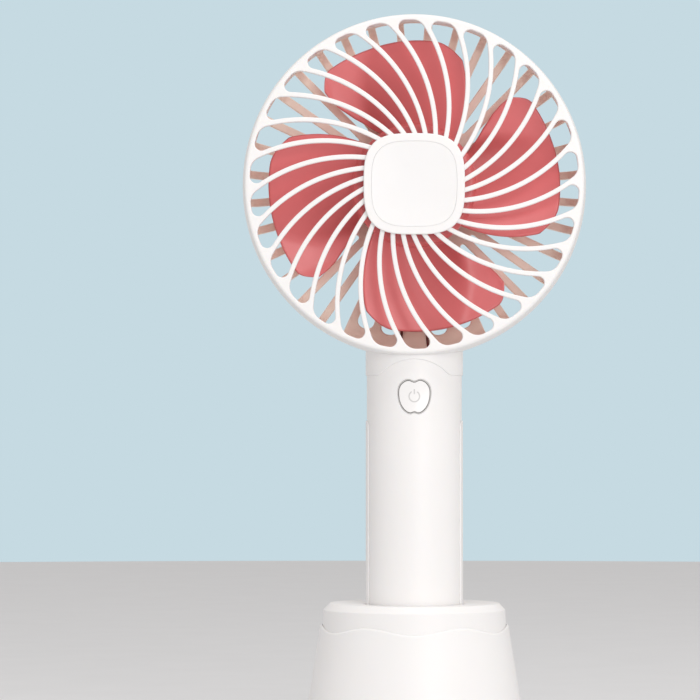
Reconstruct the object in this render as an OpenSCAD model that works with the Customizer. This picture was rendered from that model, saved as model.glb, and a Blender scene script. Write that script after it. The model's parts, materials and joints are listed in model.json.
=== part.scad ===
// Handheld electric fan standing in its dock.
// Millimetres. +Z is up, the grille faces -Y, and the origin is the centre of the dock's underside.

/* [Dock] */
// Height of the dock
dock_h = 42; // [38:1:50]
// Radius of the dock at its foot
dock_foot_r = 34.4; // [34:0.2:40]
// Radius of the dock's upper body
dock_top_r = 28.2; // [27.8:0.1:28.6]
// Depth of the socket that the handle stands in
socket_depth = 30; // [20:1:32]
// Number of waves round the skirt's top edge
wave_count = 6; // [4:1:8]
// Height of each wave, trough to crest
wave_height = 2.1; // [1:0.1:3]

/* [Handle] */
// Radius of the handle's front and upper shells
handle_r = 14.55; // [14.3:0.05:14.7]
// Radius of the battery cover and of the collar
cover_r = 14.9; // [14.8:0.05:15]
// Width of the button, side to side
button_w = 10.5; // [9:0.1:11]
// Height of the button, top to bottom
button_h = 11; // [9:0.1:11.5]
// How far the button can be pressed
button_travel = 0.4; // [0.2:0.05:0.5]

/* [Head] */
// Height of the head's centre above the dock's top face
head_rise = 127.6; // [125:0.2:132]
// Greatest radius of the head
head_r = 52.4; // [52.4:0.1:54]
// Number of curved ribs in the front guard
front_ribs = 30; // [20:1:32]
// Width of a front rib
front_rib_w = 1.4; // [0.8:0.1:1.6]
// Number of straight ribs in the rear grille
rear_ribs = 36; // [24:1:40]
// Width of a rear rib
rear_rib_w = 2.45; // [1.8:0.05:2.6]
// Half the width of the square cap at the middle of the front guard
cap_half = 15.4; // [14:0.1:16]

/* [Impeller] */
// Number of blades
blades = 4; // [3:1:4]
// Radius at the blade tips
blade_tip_r = 44.5; // [40:0.5:46]
// Angle between a blade and the plane of the impeller
blade_pitch = 20; // [14:1:22]

/* [Hidden] */
$fn = 96;

// Colours
shell_white = [0.96, 0.95, 0.94];
coral = [0.82, 0.36, 0.38];
rose_beige = [0.84, 0.69, 0.63];
line_grey = [0.66, 0.65, 0.64];
steel = [0.72, 0.72, 0.74];
brass = [0.80, 0.66, 0.36];

// Heights up the object
socket_floor_z = dock_h - socket_depth;
head_z = dock_h + head_rise;
collar_z = head_z - 57.6;
arch_top_z = head_z - 52.9;
step_z = head_z - 71.4;
button_z = head_z - 64.2;
usb_z = step_z + 4.6;

// Dock
dock_wall = 1.8;
plate_t = 2;
bevel_w = 2;
bevel_h = 2.4;
taper_w = 0.4;
taper_h = 8;
socket_r = cover_r + 0.4;
socket_wall = 1.6;
pad_h = 1;
floor_h = 3;
floor_r = dock_foot_r - 3;
wave_mid_z = dock_h - 6.95;
skirt_lip_r = dock_top_r + 0.6;
skirt_seat_z = dock_h - 18;
boss_circle_r = 22;
dock_boss_r = 3;
dock_screw_r = 1.25;

// Handle
shell_wall = 1.65;
bore_r = handle_r - shell_wall;
seam_angle = 72;
tray_r = bore_r + 0.2;
tray_wall = 1.4;
cover_in_r = tray_r + 0.2;
arch_r = 13.4;
end_cap_h = 2.2;

// Battery
cell_r = 9.15;
cell_h = 64.5;
cell_y = 2;
cell_z = socket_floor_z + 8;
cell_top_z = cell_z + cell_h + 0.8;

// Electronics
board_y = 5;
board_t = 1.2;
board_z = step_z - 2.7;
board_h = 20.5;
plunger_y = 0.9;
screw_x = 8.5;
screw_z = step_z - 6.2;
screw_seat_y = 6;

// Head, as distances in front of the handle's axis
face_w = 17;
guard_back_w = 13.5;
ring_back_w = -1;
grille_in_w = -8;
grille_out_w = -10.5;
bowl_round = 6;
neck_wall = 1.8;
shoulder_r = 15.7;
ring_in_r = head_r - 1.6;
guard_edge_r = head_r - 0.5;
slot_end_r = 49.8;
rib_t = 2.2;
lip_t = 0.9;
lip_depth = 2.5;
rear_slot_end_r = 45.7;
patch_half_w = 18.6;
hub_plate_r = 22.5;
cap_t = 1.6;
panel_sink = 0.6;
panel_half = cap_half - 2.4;

// Motor and impeller, in the same distances
can_r = 12;
can_wall = 0.8;
can_front_w = 4;
motor_screw_offset = 8;
shaft_r = 1;
hub_r = 18.8;
hub_front_w = 12;
hub_back_w = -0.5;
blade_mid_w = 4.5;
blade_t = 1.4;

// ---------------------------------------------------------------- helpers

// Puts a shape drawn with +Z as the head's front on the head's axis
module on_head() {
    translate([0, 0, head_z]) rotate([90, 0, 0]) children();
}

// A tube sector about +Z
module tube_sector(from_angle, sweep, r_in, r_out, z_low, z_high) {
    rotate([0, 0, from_angle])
        rotate_extrude(angle = sweep)
            translate([r_in, z_low]) square([r_out - r_in, z_high - z_low]);
}

// A disc or ring about +Z
module ring(r_in, r_out, z_low, z_high) {
    difference() {
        translate([0, 0, z_low]) cylinder(r = r_out, h = z_high - z_low);
        translate([0, 0, z_low - 1]) cylinder(r = r_in, h = z_high - z_low + 2);
    }
}

// Round wire through a list of points, with a slightly larger ball at each bend
module wire(points, r) {
    for (i = [0 : len(points) - 2]) {
        span = points[i + 1] - points[i];
        length = norm(span);
        translate(points[i])
            rotate([0, acos(span.z / length), atan2(span.y, span.x)])
                cylinder(r = r, h = length, $fn = 24);
        if (i > 0) translate(points[i]) sphere(r = r * 1.08, $fn = 24);
    }
}

// Coordinate of a superellipse of the given power, from the cosine or sine of its angle
function superellipse(c, power) = sign(c) * pow(abs(c), 2 / power);

// Square with bulging sides and round corners
module squircle(half) {
    polygon([for (a = [0 : 5 : 355]) half * [superellipse(cos(a), 3.2), superellipse(sin(a), 3.2)]]);
}

// Outline of the button, like a fruit: notched above and below, and narrower towards the bottom
module button_outline(inset) {
    half_w = button_w / 2 - inset;
    half_h = button_h / 2 - inset;
    taper = 0.13;
    polygon([
        for (t = [0 : 5 : 355])
            let (
                rise = superellipse(sin(t), 2.35),
                x = half_w * superellipse(cos(t), 2.35) * (1 + taper * rise) / (1 + taper / 4),
                notch = rise > 0 ? -0.85 * exp(-pow(x / 1.25, 2)) : 0.55 * exp(-pow(x / 0.9, 2))
            )
            [x, half_h * rise + notch]
    ]);
}

// Area below the collar's lower edge, with its arch over the front of the handle, in X and Z
module below_collar() {
    translate([-20, 0]) square([40, collar_z]);
    translate([0, arch_top_z - arch_r]) circle(r = arch_r);
}

// The space below the collar's edge on the front of the handle
module front_of_collar(depth) {
    translate([0, 0.01, 0]) rotate([90, 0, 0]) linear_extrude(depth) below_collar();
}

// ---------------------------------------------------------------- front guard

// One curved rib, running from the cap out to the ring
module front_rib() {
    centre = [2.03, 43.5];
    radius = 47.2;
    intersection() {
        difference() {
            translate(centre) circle(r = radius + front_rib_w / 2);
            translate(centre) circle(r = radius - front_rib_w / 2);
        }
        circle(r = slot_end_r + 0.4);
        translate([8, -30]) square([60, 80]);
    }
}

module front_guard() {
    color(shell_white) on_head() {
        rotate_extrude() {
            // Face of the ring, rounded over to the outside
            translate([slot_end_r, guard_back_w]) square([lip_t, face_w - guard_back_w]);
            translate([slot_end_r, guard_back_w]) square([guard_edge_r - slot_end_r, 2.3]);
            translate([guard_edge_r - 1.2, face_w - 1.2]) circle(r = 1.2);
            // Lip that snaps inside the ring housing
            translate([slot_end_r, guard_back_w - lip_depth]) square([lip_t, lip_depth + 0.5]);
        }
        translate([0, 0, face_w - rib_t]) cylinder(r = cap_half - 0.4, h = rib_t);
        translate([0, 0, face_w - rib_t])
            linear_extrude(rib_t)
                for (k = [0 : front_ribs - 1]) rotate(k * 360 / front_ribs) front_rib();
    }
}

module cap_rim() {
    color(shell_white) on_head() translate([0, 0, face_w]) difference() {
        linear_extrude(cap_t) squircle(cap_half);
        translate([0, 0, cap_t - panel_sink]) linear_extrude(1) squircle(panel_half);
    }
}

module cap_panel() {
    color(shell_white) on_head()
        translate([0, 0, face_w + cap_t - panel_sink])
            linear_extrude(panel_sink - 0.1) squircle(panel_half - 0.1);
}

// ---------------------------------------------------------------- head housing

// Collar that joins the head to the handle, with a shoulder that rounds over behind the grille.
// The inset gives the hollow inside the same shape.
module neck(inset) {
    intersection() {
        translate([0, 0, collar_z]) cylinder(r = cover_r - inset, h = 16);
        translate([-20, cover_r - shoulder_r, collar_z + 1])
            rotate([0, 90, 0]) cylinder(r = shoulder_r - inset, h = 40);
    }
}

module ring_housing() {
    color(shell_white) {
        // Ring round the impeller, widest behind its front edge
        on_head() rotate_extrude() polygon([
            [ring_in_r, ring_back_w], [head_r - 0.1, ring_back_w], [head_r, 3], [head_r, 8],
            [head_r - 0.2, 11], [guard_edge_r, guard_back_w], [ring_in_r, guard_back_w]
        ]);
        difference() {
            neck(0);
            neck(neck_wall);
            translate([0, 0, collar_z - 1]) cylinder(r = cover_r - neck_wall, h = 2);
            on_head() rotate_extrude() bowl_section(head_r, grille_out_w, bowl_round);
            on_head() translate([0, 0, ring_back_w]) cylinder(r = ring_in_r + 0.4, h = 60);
            on_head() translate([0, 0, guard_back_w]) cylinder(r = head_r + 0.6, h = 60);
            front_of_collar(30);
        }
    }
}

// Half section of the grille's bowl: a rectangle with its lower outer corner rounded
module bowl_section(r, bottom, round_r) {
    intersection() {
        translate([0, bottom]) square([r, ring_back_w - bottom]);
        union() {
            translate([0, bottom]) square([r - round_r, 30]);
            translate([0, bottom + round_r]) square([r, 30]);
            translate([r - round_r, bottom + round_r]) circle(r = round_r);
        }
    }
}

// Openings between the rear ribs, with a solid patch behind the neck
module rear_slots() {
    difference() {
        circle(r = head_r + 5);
        circle(r = hub_plate_r);
        for (k = [0 : rear_ribs - 1])
            rotate((k + 0.5) * 360 / rear_ribs)
                translate([0, -rear_rib_w / 2]) square([head_r + 6, rear_rib_w]);
        difference() {
            translate([-patch_half_w, -head_r - 6]) square([2 * patch_half_w, head_r + 6]);
            circle(r = rear_slot_end_r);
        }
    }
}

module rear_grille() {
    color(rose_beige) on_head() difference() {
        union() {
            rotate_extrude() difference() {
                bowl_section(head_r - 0.1, grille_out_w, bowl_round);
                bowl_section(ring_in_r, grille_in_w, bowl_round - 1.5);
            }
            // Seat for the motor
            ring(can_r + 0.1, can_r + 1.3, grille_in_w - 0.1, grille_in_w + 2.5);
        }
        translate([0, 0, grille_out_w - 1]) linear_extrude(-grille_out_w - 2.5) rear_slots();
        // Way through for the leads, into the neck and out of the motor's seat
        translate([-6, -head_r - 1, grille_in_w]) cube([12, 7, 1.4]);
        translate([-5, -can_r - 2, grille_in_w]) cube([10, 4, 1.2]);
        for (y = [-1, 1] * motor_screw_offset)
            translate([0, y, grille_out_w - 1]) cylinder(r = 1.1, h = 4);
        translate([0, 0, grille_out_w - 1]) cylinder(r = 3, h = 4);
    }
}

module motor_cover() {
    color(shell_white) on_head() translate([0, 0, grille_out_w]) mirror([0, 0, 1])
        rotate_extrude() difference() {
            union() {
                square([17, 2]);
                square([18, 1]);
                translate([17, 1]) circle(r = 1);
            }
            translate([-1, -2]) square([16.5, 3.2]);
            translate([15, -2]) square([4, 2]);
            translate([-2, -2]) square([2, 6]);
        }
}

// ---------------------------------------------------------------- impeller and motor

// Outline of one blade seen from the front, from its root inside the hub to past its tip
module blade_outline() {
    corners = [
        [17.8, 50], [19.8, 50], [25, 54], [33, 61], [40, 67.5], [42.8, 71], [44.1, 74.5], [46, 78],
        [47, 90], [47, 110], [46, 121], [44.1, 125.5], [42.6, 129], [40, 132.2], [36.6, 133.6],
        [33, 133.6], [28, 131.5], [22, 126], [17.8, 121]
    ];
    polygon([for (c = corners) [c[0] * cos(c[1]), c[0] * sin(c[1])]]);
}

module blade() {
    mid_angle = 97;
    intersection() {
        translate([0, 0, -10]) linear_extrude(40) intersection() {
            blade_outline();
            circle(r = blade_tip_r);
        }
        translate([0, 0, blade_mid_w])
            rotate([0, 0, mid_angle])
                rotate([-blade_pitch, 0, 0])
                    translate([0, -40, -blade_t / 2]) cube([60, 80, blade_t]);
    }
}

module impeller() {
    color(coral) on_head() difference() {
        union() {
            difference() {
                union() {
                    translate([0, 0, hub_back_w]) cylinder(r = hub_r, h = hub_front_w - hub_back_w);
                    for (k = [0 : blades - 1]) rotate(k * 360 / blades) blade();
                }
                translate([0, 0, -20]) cylinder(r = hub_r - 1.5, h = 20 + hub_front_w - 1.6);
            }
            translate([0, 0, can_front_w + 2.2]) cylinder(r = 3, h = 5);
        }
        translate([0, 0, -20]) cylinder(r = shaft_r, h = 50);
    }
}

module motor_shaft() {
    color(steel) on_head() translate([0, 0, grille_in_w + 0.4]) cylinder(r = shaft_r, h = 19.4);
}

module armature() {
    color(brass) on_head() difference() {
        translate([0, 0, -3.5]) cylinder(r = 9.2, h = 5.5);
        for (a = [30 : 120 : 270]) rotate(a) translate([4, -0.8, -4]) cube([8, 1.6, 7]);
        translate([0, 0, -5]) cylinder(r = shaft_r, h = 10);
    }
}

module commutator() {
    color(brass) on_head() ring(shaft_r, 2.6, -5.4, -3.5);
}

// Gap at the bottom of the motor that the leads come out of
module lead_gap() {
    translate([-5, -can_r - 1, grille_in_w - 0.5]) cube([10, 3.6, 1.6]);
}

module motor_can() {
    color(steel) on_head() difference() {
        union() {
            translate([0, 0, grille_in_w]) cylinder(r = can_r, h = can_front_w - grille_in_w);
            translate([0, 0, can_front_w]) cylinder(r = 3.4, h = 1.6);
        }
        translate([0, 0, grille_in_w - 1])
            cylinder(r = can_r - can_wall, h = can_front_w - grille_in_w + 0.2);
        cylinder(r = 2.4, h = 20);
        lead_gap();
    }
}

module motor_end_cap() {
    color("dimgray") on_head() difference() {
        translate([0, 0, grille_in_w]) cylinder(r = can_r - can_wall, h = 1.8);
        translate([0, 0, grille_in_w - 1]) cylinder(r = 2.4, h = 4);
        for (y = [-1, 1] * motor_screw_offset)
            translate([0, y, grille_in_w - 1]) cylinder(r = 0.9, h = 4);
        lead_gap();
    }
}

module front_bush() {
    color(brass) on_head() ring(shaft_r + 0.03, 2.4, can_front_w - 1.4, can_front_w + 1.6);
}

module rear_bush() {
    color(brass) on_head() ring(shaft_r + 0.03, 2.4, grille_in_w, grille_in_w + 2.2);
}

module motor_magnets() {
    color("dimgray") on_head()
        for (a = [30, 210]) tube_sector(a, 120, 9.6, can_r - can_wall, -4, 2.6);
}

module motor_brushes() {
    color(brass) on_head()
        for (side = [0, 1]) mirror([side, 0, 0]) {
            translate([2.65, -0.9, -5.2]) cube([4.4, 1.8, 1.3]);
            translate([6, -0.9, grille_in_w + 1.8]) cube([1.05, 1.8, 1.2]);
        }
}

module motor_screws() {
    color(steel) on_head()
        for (y = [-1, 1] * motor_screw_offset) translate([0, y, 0]) {
            translate([0, 0, grille_out_w - 0.2]) cylinder(r = 0.9, h = 4);
            translate([0, 0, grille_out_w - 1]) cylinder(r = 1.7, h = 1);
        }
}

module motor_leads() {
    lead_y = 7.55;
    for (side = [-1, 1])
        color(side < 0 ? "firebrick" : "black") wire([
            [side * 0.9, lead_y, head_z - 10],
            [side * 4.27, lead_y, head_z - 48.8],
            [side * 4.3, lead_y, head_z - 53],
            [side * 4.3, board_y + board_t + 0.4, board_z + board_h - 2]
        ], 0.4);
}

// ---------------------------------------------------------------- handle

module handle_front() {
    color(shell_white) difference() {
        union() {
            intersection() {
                tube_sector(180, 180, bore_r, handle_r, socket_floor_z, arch_top_z + 1);
                front_of_collar(30);
            }
            // Bosses that the screws bite into
            intersection() {
                for (x = [-screw_x, screw_x])
                    translate([x, -0.5, screw_z]) rotate([90, 0, 0]) cylinder(r = 2.2, h = 12);
                translate([0, 0, screw_z - 5]) cylinder(r = bore_r + 0.3, h = 10);
            }
        }
        // The battery cover has the sides, up to its top edge
        for (a = [179, 270 + seam_angle])
            tube_sector(a, 91 - seam_angle, bore_r - 1, handle_r + 1, socket_floor_z - 1, step_z);
        for (x = [-screw_x, screw_x])
            translate([x, 0, screw_z]) rotate([90, 0, 0]) cylinder(r = 0.8, h = 6);
        translate([0, -8, button_z]) rotate([90, 0, 0]) linear_extrude(10) button_outline(0);
    }
}

module handle_back() {
    color(shell_white) difference() {
        union() {
            tube_sector(0, 180, bore_r, handle_r, step_z, collar_z);
            // Tray that holds the cell under the battery cover
            tube_sector(10, 160, tray_r - tray_wall, tray_r, socket_floor_z + end_cap_h, step_z + 2);
            intersection() {
                for (x = [-screw_x, screw_x])
                    translate([x, 14, screw_z]) rotate([90, 0, 0]) cylinder(r = 2.4, h = 14.5);
                translate([0, 0, screw_z - 5]) cylinder(r = tray_r, h = 10);
            }
        }
        for (x = [-screw_x, screw_x]) {
            translate([x, 20, screw_z]) rotate([90, 0, 0]) cylinder(r = 1, h = 30);
            translate([x, 20, screw_z]) rotate([90, 0, 0]) cylinder(r = 1.8, h = 20 - screw_seat_y);
        }
        translate([-4.2, 9, usb_z - 1.7]) cube([8.4, 8, 3.4]);
    }
}

module battery_cover() {
    color(shell_white)
        tube_sector(seam_angle - 90, 360 - 2 * seam_angle, cover_in_r, cover_r, socket_floor_z, step_z);
}

module end_cap() {
    color(shell_white)
        translate([0, 0, socket_floor_z]) cylinder(r = bore_r, h = end_cap_h);
}

module handle_screws() {
    color(steel)
        for (x = [-screw_x, screw_x]) {
            translate([x, screw_seat_y, screw_z]) rotate([90, 0, 0]) cylinder(r = 0.8, h = 12);
            translate([x, screw_seat_y + 1.2, screw_z]) rotate([90, 0, 0]) cylinder(r = 1.6, h = 1.2);
        }
}

// ---------------------------------------------------------------- button and electronics

module button() {
    color(shell_white) {
        intersection() {
            translate([0, -11, button_z]) rotate([90, 0, 0]) linear_extrude(8) button_outline(0.45);
            translate([0, 0, button_z - 10]) cylinder(r = handle_r + 0.1, h = 20);
        }
        translate([0, -10.1, button_z]) rotate([90, 0, 0]) cylinder(r = 6.2, h = 0.9);
        translate([0, plunger_y, button_z]) rotate([90, 0, 0]) cylinder(r = 1.6, h = 11.2);
    }
}

module button_trim() {
    color(line_grey) intersection() {
        translate([0, -8, button_z]) rotate([90, 0, 0]) linear_extrude(10) difference() {
            button_outline(0.02);
            button_outline(0.35);
        }
        ring(bore_r, handle_r - 0.12, button_z - 10, button_z + 10);
    }
}

module switch_plunger() {
    color("dimgray")
        translate([0, plunger_y + 1.5, button_z]) rotate([90, 0, 0]) cylinder(r = 1.7, h = 1.5);
}

module tact_switch() {
    color(steel) difference() {
        translate([-3, plunger_y + 0.7, button_z - 3]) cube([6, board_y - plunger_y - 0.7, 6]);
        translate([0, plunger_y + 2.2, button_z]) rotate([90, 0, 0]) cylinder(r = 1.78, h = 5);
    }
}

module circuit_board() {
    color("darkgreen") translate([-8, board_y, board_z]) cube([16, board_t, board_h]);
}

module control_chip() {
    color("dimgray") translate([-2.5, board_y + board_t, button_z + 2]) cube([5, 1.2, 4]);
}

module status_led() {
    color("gold") translate([-0.8, board_y - 0.8, button_z - 5.2]) cube([1.6, 0.8, 0.8]);
}

module usb_shell() {
    color(steel) difference() {
        translate([-3.75, board_y + board_t, usb_z - 1.3]) cube([7.5, 13.8 - board_y - board_t, 2.6]);
        translate([-3.45, board_y + board_t + 0.6, usb_z - 1]) cube([6.9, 10, 2]);
    }
}

module usb_tongue() {
    color("dimgray") translate([-2.4, board_y + board_t + 0.6, usb_z - 0.35]) cube([4.8, 5.6, 0.7]);
}

// ---------------------------------------------------------------- battery

module battery_cell() {
    color("mediumseagreen") translate([0, cell_y, cell_z]) {
        cylinder(r = cell_r, h = cell_h);
        cylinder(r = 3, h = cell_h + 0.8);
    }
}

// Rings of a closed conical coil under the cell
module contact_spring() {
    base_z = socket_floor_z + end_cap_h;
    coils = 6;
    rise = (cell_z - base_z - 0.4) / coils;
    color(steel) translate([0, cell_y, base_z]) {
        translate([-4.5, -4.5, 0]) cube([9, 9, 0.4]);
        for (k = [0 : coils - 1])
            translate([0, 0, 0.4 + k * rise])
                ring(3.2 - k * 0.3, 4.2 - k * 0.3, 0, rise);
    }
}

module contact_plate() {
    color(steel) {
        translate([-4, cell_y - 3.5, cell_top_z]) cube([8, 8.1, 0.4]);
        translate([-2, board_y + board_t, cell_top_z]) cube([4, 0.4, board_z - cell_top_z + 2.5]);
    }
}

module battery_lead() {
    base_z = socket_floor_z + end_cap_h;
    color("black") wire([
        [-4, cell_y - 3.8, base_z + 0.85],
        [-8.2, -7.2, base_z + 0.85],
        [-8.2, -7.2, screw_z - 6],
        [-4.5, -4, screw_z - 0.5],
        [-4.5, board_y - 0.3, board_z + 1.5]
    ], 0.45);
}

// ---------------------------------------------------------------- dock

module dock_top() {
    color(shell_white) difference() {
        union() {
            rotate_extrude() {
                // Top plate with a bevelled rim, and the wall that carries on down inside the skirt
                polygon([
                    [socket_r, dock_h - plate_t], [socket_r, dock_h],
                    [dock_top_r - taper_w - bevel_w, dock_h], [dock_top_r - taper_w, dock_h - bevel_h],
                    [dock_top_r, dock_h - taper_h], [dock_top_r, skirt_seat_z],
                    [dock_top_r - dock_wall, skirt_seat_z], [dock_top_r - dock_wall, dock_h - taper_h],
                    [dock_top_r - dock_wall - taper_w, dock_h - bevel_h - 1.6],
                    [dock_top_r - dock_wall - bevel_w, dock_h - plate_t]
                ]);
                // Socket
                translate([socket_r, socket_floor_z - 2]) square([socket_wall, socket_depth + 2]);
                translate([0, socket_floor_z - 2]) square([socket_r + 0.5, 2]);
            }
            for (a = [90 : 120 : 330])
                rotate(a) translate([boss_circle_r, 0, pad_h + floor_h])
                    cylinder(r = dock_boss_r, h = dock_h - pad_h - floor_h - 1);
        }
        for (a = [90 : 120 : 330])
            rotate(a) translate([boss_circle_r, 0, 0]) cylinder(r = dock_screw_r, h = 16);
    }
}

module dock_skirt() {
    crest_z = wave_mid_z + wave_height / 2;
    trough_z = wave_mid_z - wave_height / 2;
    half_chord = skirt_lip_r * sin(180 / wave_count);
    scoop_r = (pow(half_chord, 2) + pow(wave_height, 2)) / (2 * wave_height);
    foot_z = 0.6;
    color(shell_white) difference() {
        rotate_extrude() {
            difference() {
                polygon([
                    [0, foot_z], [dock_foot_r - 0.8, foot_z], [dock_foot_r, foot_z + 0.8],
                    [skirt_lip_r, crest_z], [0, crest_z]
                ]);
                polygon([
                    [0, 0], [dock_foot_r - 2.6, 0], [dock_foot_r - 2.6, pad_h + floor_h],
                    [dock_top_r + 0.05, skirt_seat_z], [dock_top_r + 0.05, crest_z + 1], [0, crest_z + 1]
                ]);
            }
            // Ledge that the floor plate clamps against
            translate([floor_r - 3, pad_h + floor_h]) square([3.2, 1.5]);
        }
        for (k = [0 : wave_count - 1])
            rotate(k * 360 / wave_count - 90)
                translate([0, 0, trough_z + scoop_r])
                    rotate([0, 90, 0])
                        cylinder(r = scoop_r, h = 60, $fn = 180);
    }
}

module dock_floor() {
    color(shell_white) difference() {
        translate([0, 0, pad_h]) cylinder(r = floor_r, h = floor_h);
        for (a = [90 : 120 : 330]) rotate(a) translate([boss_circle_r, 0, 0]) {
            cylinder(r = 1.5, h = 10);
            cylinder(r = 2.8, h = pad_h + 1.6);
        }
    }
}

module dock_screws() {
    color(steel)
        for (a = [90 : 120 : 330]) rotate(a) translate([boss_circle_r, 0, pad_h + 0.1]) {
            cylinder(r = 2.5, h = 1.5);
            cylinder(r = dock_screw_r, h = 12);
        }
}

module foot_pad() {
    color("lightgray") cylinder(r = floor_r - 1.4, h = pad_h);
}

// ---------------------------------------------------------------- assembly

front_guard();
cap_rim();
cap_panel();
ring_housing();
rear_grille();
motor_cover();
impeller();
motor_shaft();
armature();
commutator();
motor_can();
motor_end_cap();
front_bush();
rear_bush();
motor_magnets();
motor_brushes();
motor_screws();
motor_leads();
handle_front();
handle_back();
battery_cover();
end_cap();
handle_screws();
button();
button_trim();
switch_plunger();
tact_switch();
circuit_board();
control_chip();
status_led();
usb_shell();
usb_tongue();
battery_cell();
contact_spring();
contact_plate();
battery_lead();
dock_top();
dock_skirt();
dock_floor();
dock_screws();
foot_pad();
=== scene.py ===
"""Looks for the handheld electric fan standing in its dock.

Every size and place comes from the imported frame. The geometry code works in millimetres, in the
frame's axes (the guard faces -Y), and make_piece turns the result into metres.
"""
import json
import math

import bpy
import numpy as np
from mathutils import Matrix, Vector
from mathutils.geometry import delaunay_2d_cdt


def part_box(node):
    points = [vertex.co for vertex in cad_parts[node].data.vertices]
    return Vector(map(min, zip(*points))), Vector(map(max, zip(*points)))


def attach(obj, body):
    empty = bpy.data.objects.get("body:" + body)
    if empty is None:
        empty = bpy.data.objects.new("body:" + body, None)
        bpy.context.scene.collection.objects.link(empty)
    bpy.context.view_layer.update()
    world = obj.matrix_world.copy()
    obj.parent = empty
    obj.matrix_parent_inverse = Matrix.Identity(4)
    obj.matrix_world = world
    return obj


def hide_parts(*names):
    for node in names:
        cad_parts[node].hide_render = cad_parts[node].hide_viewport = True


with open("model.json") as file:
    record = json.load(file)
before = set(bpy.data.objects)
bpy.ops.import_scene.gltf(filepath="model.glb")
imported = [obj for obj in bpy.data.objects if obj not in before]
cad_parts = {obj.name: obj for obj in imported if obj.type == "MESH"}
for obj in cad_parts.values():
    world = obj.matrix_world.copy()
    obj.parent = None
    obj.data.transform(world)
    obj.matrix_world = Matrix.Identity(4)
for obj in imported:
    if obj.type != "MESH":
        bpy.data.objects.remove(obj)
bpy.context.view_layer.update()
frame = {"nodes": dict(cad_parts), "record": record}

MM = 0.001


# ---------------------------------------------------------------- sizes read from the frame

# Lowest and highest corner of each CAD node, in millimetres
LOW, HIGH = ({node: np.array(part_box(node)[end]) / MM for node in frame["nodes"]} for end in (0, 1))

# Heights
HEAD_Z = (LOW["front_guard"][2] + HIGH["front_guard"][2]) / 2
COLLAR_Z = HIGH["handle_back"][2]
ARCH_TOP_Z = HIGH["handle_front"][2]
STEP_Z = HIGH["battery_cover"][2]
HANDLE_FOOT_Z = LOW["battery_cover"][2]
BUTTON_Z = (LOW["button_trim"][2] + HIGH["button_trim"][2]) / 2
DOCK_TOP_Z = HIGH["dock_top"][2]

# Distances in front of the handle's axis, along the head's own axis
FACE_W = -LOW["front_guard"][1]
GRILLE_W = -HIGH["rear_grille"][1]
RING_BACK_W = -LOW["rear_grille"][1]
GUARD_SEAM_W = FACE_W - 3.5

# Radii
HEAD_R = HIGH["ring_housing"][0]
COVER_R = HIGH["battery_cover"][0]
HANDLE_R = HIGH["handle_front"][0]
HUB_R = 18.8
SHELL_WALL = 1.65

# Outer surface of the rear grille's bowl: a flat disc, then a quarter round to its rim
BOWL_CORNER = 6.0
BOWL_FLAT_R = HEAD_R - 6.1
BOWL_TURN = BOWL_CORNER * math.pi / 2
BOWL_MIDDLE_W = GRILLE_W + BOWL_CORNER

RIB_COUNT = 30
REAR_RIB_COUNT = 36
BLADE_COUNT = 4


# ---------------------------------------------------------------- mesh helpers

REMADE = set()


def add_object(name, data, place=(0, 0, 0), target=None):
    """Puts a new object in the scene, its -Z aimed at the target if there is one."""
    thing = bpy.data.objects.new(name, data)
    thing.location = place
    if target is not None:
        aim = Vector(target) - Vector(place)
        thing.rotation_euler = aim.to_track_quat("-Z", "Y").to_euler()
    bpy.context.scene.collection.objects.link(thing)
    return thing


def make_piece(name, shell, body="fan", slot="white_shell", remakes=True):
    """Makes a smooth mesh object from a shell of (points in mm, faces, normals), riding on a body.

    If it remakes the CAD node of its own name, it replaces it."""
    points, faces, normals = shell
    mesh = bpy.data.meshes.new(name)
    mesh.from_pydata((np.asarray(points) * MM).tolist(), [], [list(map(int, f)) for f in faces])
    mesh.validate()
    mesh.update()
    for polygon in mesh.polygons:
        polygon.use_smooth = True
    mesh.normals_split_custom_set_from_vertices(np.asarray(normals).tolist())
    mesh.materials.append(MATERIALS[slot])
    piece = add_object(name, mesh)
    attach(piece, body)
    if remakes:
        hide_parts(name)
        REMADE.add(name)
    return piece


def joined(*shells):
    """Puts several (points, faces, normals) shells into one."""
    points, face_lists, normals = zip(*shells)
    starts = np.cumsum([0] + [len(p) for p in points])
    faces = [[i + start for i in face] for start, part in zip(starts, face_lists) for face in part]
    return np.concatenate(points), faces, np.concatenate(normals)


def unit(vectors):
    """The vectors at length 1."""
    length = np.linalg.norm(vectors, axis=-1, keepdims=True)
    return vectors / np.where(length < 1e-12, 1, length)


def polar(r, angle, *rest):
    """Points at a radius and an angle about the origin, with any further coordinate as given."""
    r, angle, *rest = np.broadcast_arrays(r, angle, *rest)
    return np.stack([r * np.cos(angle), r * np.sin(angle), *rest], -1)


def grid_faces(index, flip=False, around=False):
    """Faces between the neighbouring rows and columns of a grid of point numbers.

    Each drops its repeated points. The last column joins the first if it goes around."""
    if around:
        index = np.concatenate([index, index[:, :1]], 1)
    faces = []
    for low, high in zip(index.tolist(), index[1:].tolist()):
        for a, b, c, d in zip(low, low[1:], high[1:], high):
            faces.append(list(dict.fromkeys([a, d, c, b] if flip else [a, b, c, d])))
    return faces


def at_corner(corners, i):
    """A corner's point, the ways into it and out of it, and the sine of the turn between them."""
    before, here, after = (np.array(corners[k % len(corners)][:2], float)
                           for k in (i - 1, i, i + 1))
    before, after = unit(here - before), unit(after - here)
    return here, before, after, before[0] * after[1] - before[1] * after[0]


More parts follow.
